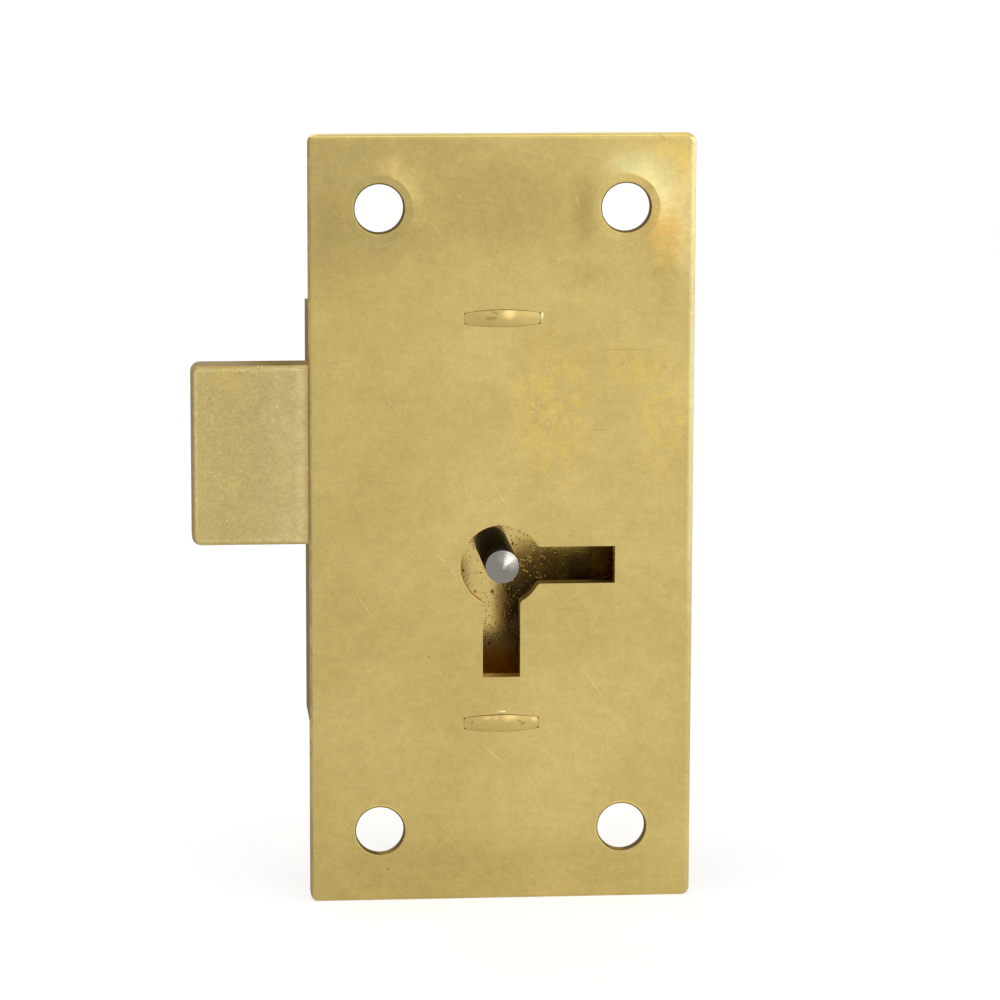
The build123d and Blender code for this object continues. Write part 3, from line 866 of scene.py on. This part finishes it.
def bolt_brass():
    """Matt cast brass, grainy with painted glints on its faces, duller on its sides, with painted shade and
    highlights at its edges.
    """
    f = Finish("bolt_brass")
    grain = f.noise(0.15, 4.0, 0.75, seed=51)
    speckle = f.noise(0.34, 3.0, 0.7, seed=58)
    mottle = f.noise(1.1, 4.0, 0.6, seed=52, warp=0.5)
    clouds = f.noise(6.0, 2.0, 0.5, seed=53)
    warm = f.span(f.noise(3.0, 4.0, 0.6, seed=54, warp=0.5), 0.42, 0.66)
    colour = f.mix(f.span(clouds, 0.35, 0.7), CAST_BRASS, shade(CAST_BRASS, 1.06))
    colour = f.coat(colour, BRASS_GOLD, warm, 0.12)

    # Stains near the plate and by the top edge
    stain = f.times(f.patches(BOLT_STAINS), f.span(f.noise(0.8, 4.0, 0.6, seed=59), 0.36, 0.60))
    stain = f.most(stain, f.patch(*BOLT_SPOT))
    colour = f.coat(colour, BRASS_GOLD, stain, 0.24)

    # Painted shade: the rounding along its top and end is browner
    turned = f.unsigned(f.facing_y)
    rounding = f.times(f.span(turned, 0.985, 0.80), f.span(f.facing_z, -0.3, -0.05))
    colour = f.coat(colour, BRASS_BROWN, rounding, 0.50)

    # The sides are dull, with a film and colours that also paint their shade, and so is the whole rounding at
    # the end of the bolt
    side = f.most(
        f.span(f.unsigned(f.facing_z), 0.80, 0.95),
        f.span(f.facing_x, -0.22, -0.50),
        f.span(turned, 0.40, 0.20),
    )
    side_colour = f.mix(f.span(f.x, *DARK_SIDE_X), CAST_SIDE, CAST_SIDE_DARK)
    side_colour = f.mix(f.span(f.facing_x, -0.3, -0.7), side_colour, CAST_END)
    colour = f.mix(side, colour, side_colour)
    f.film(side, FILM_METAL)

    pits = f.specks(0.75, 0.10, 0.16, 56)
    colour = f.coat(colour, CAST_GLINT, bolt_rim_highlight(f, side), 0.32)
    colour = f.coat(colour, CAST_GLINT, f.specks(0.30, 0.14, 0.24, 55), 0.50)
    colour = f.coat(colour, CAST_GLINT, f.specks(0.9, 0.10, 0.11, 61), 0.80)
    colour = f.coat(colour, BRASS_BROWN, pits, 0.45)

    # Near the plate the bolt is scored by the mouth of the case, paler, and painted lighter
    scored = f.times(f.scratches(1.4, 0.22, 0.22, 0, 57), f.span(f.x, *SCORED_X))
    drag = f.most(scored, f.strokes(DRAG_MARKS))
    colour = f.coat(colour, BRASS_BROWN, drag, 0.45)
    pale = f.times(f.span(f.x, *PALE_X), f.span(mottle, 0.3, 0.7, 0.5, 1.0))
    colour = f.coat(colour, CAST_PALE, pale, 0.42)
    level = f.times(
        f.span(grain, 0.25, 0.75, 0.84, 1.15),
        f.span(speckle, 0.25, 0.75, 0.94, 1.05),
        f.vary(mottle, 0.04),
        f.span(f.x, *PAINTED_LIGHT_X, 1.0, 1.38),
    )
    colour = f.tone(colour, level)

    f.bump(f.add(
        f.times(grain, 0.008),
        f.times(speckle, 0.008),
        f.times(mottle, 0.012),
        f.times(pits, -0.012),
    ))
    return f.finish(colour, f.span(grain, 0.25, 0.75, 0.38, 0.52))


# Painted highlights on the cone of the pin, and how close its turning lines are, in radians per millimetre
PIN_HIGHLIGHTS = (
    (0.16, PIN_Z + 0.74, 0.50, 0.50, 0.6, 0.35),
    (0.85, PIN_Z + 0.30, 0.50, 0.50, 0.6, 0.55),
)
TURNING_PHASE = 30.0


def pin_steel():
    """Turned steel, with fine rings about the middle of the pin, painted highlights on its end, and a shank
    painted dark as shade.
    """
    f = Finish("pin_steel")
    grain = f.noise(0.12, 2.0, 0.6, seed=62)
    uneven = f.span(f.noise(0.9, 2.0, 0.5, seed=61), 0.30, 0.70, 0.4, 1.0)
    rings = f.times(f.math("SINE", f.times(f.away(PIN_X, PIN_Z), TURNING_PHASE)), uneven)
    colour = f.mix(f.span(rings, -1.0, 1.0), shade(STEEL, 0.94), shade(STEEL_PALE, 0.72))
    for *place, strength in PIN_HIGHLIGHTS:
        colour = f.coat(colour, shade(STEEL_PALE, 1.4), f.patch(*place), strength)
    end = f.span(f.facing_y, -0.4, -0.8)
    shank = f.span(f.unsigned(f.facing_y), 0.8, 0.4)
    stain = f.span(f.noise(0.5, 3.0, 0.6, seed=63), 0.60, 0.74)
    # Painted shade on the shank, browned like the brass round it
    colour = f.coat(colour, STEEL_SHADE, shank, 0.90)
    colour = f.coat(colour, shade(STEEL, 0.5), stain, 0.30)
    colour = f.tone(colour, f.vary(grain, 0.06, 0.2, 0.8))
    f.film(shank, SHANK_METAL)
    f.bump(f.add(f.times(rings, end, 0.0035), f.times(grain, 0.0010)))
    return f.finish(colour, f.span(grain, 0.2, 0.8, 0.17, 0.24))


def post_brass():
    """Turned brass of the post, the stop and the washer."""
    f = Finish("post_brass")
    rings = f.noise(1.0, 2.0, 0.5, (9.0, 0.10, 9.0), seed=71)
    mottle = f.noise(0.9, 3.0, 0.6, seed=72)
    grain = f.noise(0.12, 2.0, 0.6, seed=73)
    colour = f.mix(f.span(mottle, 0.35, 0.70), BRASS, BRASS_PALE)
    head = f.span(f.facing_y, 0.4, 0.8)
    colour = f.coat(colour, BRASS_BROWN, f.times(head, f.span(mottle, 0.50, 0.65)), 0.35)
    colour = f.tone(colour, f.vary(grain, 0.06, 0.2, 0.8))
    f.bump(f.add(f.times(rings, 0.004), f.times(grain, 0.0015)))
    return f.finish(colour, f.span(mottle, 0.25, 0.75, 0.24, 0.36))


def lever_brass():
    """Blanked brass sheet, with a broken, drawn grain round its cut edges."""
    f = Finish("lever_brass")
    streaks = f.noise(1.0, 3.0, 0.6, (0.35, 5.0, 5.0), 12, seed=81)
    mottle = f.noise(1.4, 4.0, 0.6, seed=82, warp=0.3)
    cut_lines = f.noise(1.0, 3.0, 0.6, (0.07, 2.0, 0.07), seed=83)
    edge = f.span(f.unsigned(f.facing_y), 0.6, 0.3)
    bright, dull = sheet_scratches(f, 84)
    colour = f.mix(f.span(mottle, 0.35, 0.70), BRASS, BRASS_PALE)
    colour = f.coat(colour, BRASS_BROWN, f.times(edge, f.span(cut_lines, 0.45, 0.60)), 0.45)
    colour = f.coat(colour, BRASS_PALE, bright, 0.4)
    colour = f.coat(colour, BRASS_BROWN, dull, 0.4)
    colour = f.tone(colour, f.vary(streaks, 0.07, 0.2, 0.8))
    f.bump(f.add(f.times(streaks, 0.003), f.times(edge, cut_lines, 0.012)))
    return f.finish(colour, f.span(mottle, 0.25, 0.75, 0.26, 0.38))


def spring_bronze():
    """Cold-rolled bronze strip, darker than the brass."""
    f = Finish("spring_bronze")
    streaks = f.noise(1.0, 3.0, 0.6, (6.0, 0.12, 6.0), seed=91)
    mottle = f.noise(1.0, 3.0, 0.6, seed=92)
    colour = f.mix(f.span(mottle, 0.35, 0.70), BRONZE, BRONZE_DARK)
    colour = f.tone(colour, f.vary(streaks, 0.10, 0.2, 0.8))
    f.bump(f.times(streaks, 0.003))
    return f.finish(colour, f.span(mottle, 0.25, 0.75, 0.24, 0.34))


def dress_nodes():
    """Give every CAD node the finish of its slot."""
    finishes = {
        "plate_brass": plate_brass(),
        "case_brass": case_brass(),
        "bolt_brass": bolt_brass(),
        "pin_steel": pin_steel(),
        "post_brass": post_brass(),
        "lever_brass": lever_brass(),
        "spring_bronze": spring_bronze(),
    }
    for part in frame["record"]["subparts"]:
        node = frame["nodes"][part["node"]]
        for slot in node.material_slots:
            slot.material = finishes[part["material_slot"]]


# How many levers there are, each with its leaf spring
LEVER_COUNT = 4


def bend_springs():
    """Put a copy of each leaf spring in its place and hide the CAD spring."""
    for number in range(1, LEVER_COUNT + 1):
        solid = frame["nodes"]["lever_spring_%d" % number]
        spring = bpy.data.objects.new("bending_spring_%d" % number, solid.data.copy())
        bpy.context.scene.collection.objects.link(spring)
        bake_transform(spring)
        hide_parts("lever_spring_%d" % number)


# Studio, in metres
FLOOR_SIZE = 8.0
FLOOR_ALBEDO = 0.82
FLOOR_GLOW = 0.61
FLOOR_NEAR = 0.5
FLOOR_FAR = 2.0
AMBIENT = 0.25

# Soft boxes that face the object: place, width and height in metres, and power in watts
LAMPS = {
    "key": ((0.48, -0.85, 0.24), 0.54, 0.34, 1.6),
    "side": ((1.05, -0.12, 0.20), 0.80, 0.80, 2.4),
    "top": ((-0.20, -0.30, 1.10), 0.90, 0.90, 3.0),
    "back": ((-0.25, 0.90, 0.60), 0.60, 0.60, 1.6),
}


def joined(tree, operation, first, second):
    """The output of a Math node that two sockets feed."""
    node = tree.nodes.new("ShaderNodeMath")
    node.operation = operation
    tree.links.new(first, node.inputs[0])
    tree.links.new(second, node.inputs[1])
    return node.outputs[0]


def seen_directly(tree):
    """One for camera, glossy and transmission rays, and nought for the rest."""
    path = tree.nodes.new("ShaderNodeLightPath").outputs
    seen_or_glossy = joined(tree, "MAXIMUM", path["Is Camera Ray"], path["Is Glossy Ray"])
    return joined(tree, "MAXIMUM", seen_or_glossy, path["Is Transmission Ray"])


def floor_material():
    """A pale matt surface with a glow that brings it up to white, most of all far away."""
    material = bpy.data.materials.new("studio_floor")
    material.use_nodes = True
    tree = material.node_tree
    tree.nodes.clear()
    output = tree.nodes.new("ShaderNodeOutputMaterial")
    diffuse = tree.nodes.new("ShaderNodeBsdfDiffuse")
    diffuse.inputs["Color"].default_value = (FLOOR_ALBEDO, FLOOR_ALBEDO, FLOOR_ALBEDO, 1)
    glow = tree.nodes.new("ShaderNodeEmission")
    far = tree.nodes.new("ShaderNodeMapRange")
    length = tree.nodes.new("ShaderNodeVectorMath")
    length.operation = "LENGTH"
    tree.links.new(tree.nodes.new("ShaderNodeTexCoord").outputs["Object"], length.inputs[0])
    tree.links.new(length.outputs["Value"], far.inputs["Value"])
    far.inputs["From Min"].default_value = FLOOR_NEAR
    far.inputs["From Max"].default_value = FLOOR_FAR
    far.inputs["To Min"].default_value = FLOOR_GLOW
    far.inputs["To Max"].default_value = 1.0
    level = joined(tree, "MULTIPLY", seen_directly(tree), far.outputs["Result"])
    tree.links.new(level, glow.inputs["Strength"])
    both = tree.nodes.new("ShaderNodeAddShader")
    tree.links.new(diffuse.outputs[0], both.inputs[0])
    tree.links.new(glow.outputs[0], both.inputs[1])
    tree.links.new(both.outputs[0], output.inputs["Surface"])
    return material


def make_floor():
    """A pale floor that shows white, darkened only by the object's shadow."""
    half = FLOOR_SIZE / 2
    mesh = bpy.data.meshes.new("floor")
    corners = [(-half, -half, 0), (half, -half, 0), (half, half, 0), (-half, half, 0)]
    mesh.from_pydata(corners, [], [(0, 1, 2, 3)])
    mesh.materials.append(floor_material())
    floor = bpy.data.objects.new("floor", mesh)
    floor.location.z = cad_box[0][2]
    bpy.context.scene.collection.objects.link(floor)


def make_world():
    """White where it is seen or reflected, and a soft grey light elsewhere."""
    world = bpy.data.worlds.new("studio")
    bpy.context.scene.world = world
    world.use_nodes = True
    tree = world.node_tree
    tree.nodes.clear()
    output = tree.nodes.new("ShaderNodeOutputWorld")
    soft = tree.nodes.new("ShaderNodeBackground")
    soft.inputs["Strength"].default_value = AMBIENT
    white = tree.nodes.new("ShaderNodeBackground")
    white.inputs["Color"].default_value = (1, 1, 1, 1)
    white.inputs["Strength"].default_value = 1.0
    mix = tree.nodes.new("ShaderNodeMixShader")
    tree.links.new(seen_directly(tree), mix.inputs[0])
    tree.links.new(soft.outputs[0], mix.inputs[1])
    tree.links.new(white.outputs[0], mix.inputs[2])
    tree.links.new(mix.outputs[0], output.inputs["Surface"])


def make_lamps():
    """Light the object with its soft boxes."""
    for name, (place, width, height, power) in LAMPS.items():
        light = bpy.data.lights.new(name, "AREA")
        light.shape = "RECTANGLE"
        light.size = width
        light.size_y = height
        light.energy = power
        lamp = bpy.data.objects.new(name, light)
        lamp.location = place
        lamp.rotation_euler = (-Vector(place)).to_track_quat("-Z", "Y").to_euler()
        bpy.context.scene.collection.objects.link(lamp)


# Camera, placed by the plate's corners, holes and bolt in the photograph
CAMERA_PLACE = (-0.0309, -0.3585, 0.0655)
CAMERA_YAW = math.radians(4.90)
CAMERA_PITCH = math.radians(-10.03)
CAMERA_ROLL = math.radians(0.18)
CAMERA_FOCAL_SHARE = 4.436
SENSOR_MM = 36.0
CLIP_NEAR = 0.01
CLIP_FAR = 20.0


def make_camera():
    """Look at the object from the photograph's camera."""
    data = bpy.data.cameras.new("camera")
    data.sensor_width = SENSOR_MM
    data.lens = CAMERA_FOCAL_SHARE * SENSOR_MM
    data.clip_start = CLIP_NEAR
    data.clip_end = CLIP_FAR
    forward = Vector((
        math.sin(CAMERA_YAW) * math.cos(CAMERA_PITCH),
        math.cos(CAMERA_YAW) * math.cos(CAMERA_PITCH),
        math.sin(CAMERA_PITCH),
    ))
    level_right = Vector((math.cos(CAMERA_YAW), -math.sin(CAMERA_YAW), 0.0))
    level_up = level_right.cross(forward)
    right = math.cos(CAMERA_ROLL) * level_right + math.sin(CAMERA_ROLL) * level_up
    up = right.cross(forward)
    camera = bpy.data.objects.new("camera", data)
    turn = Matrix((right, up, -forward)).transposed()
    camera.matrix_world = Matrix.Translation(CAMERA_PLACE) @ turn.to_4x4()
    bpy.context.scene.collection.objects.link(camera)
    bpy.context.scene.camera = camera


bpy.context.scene.view_settings.view_transform = "Standard"
dress_nodes()
bend_springs()
make_floor()
make_world()
make_lamps()
make_camera()
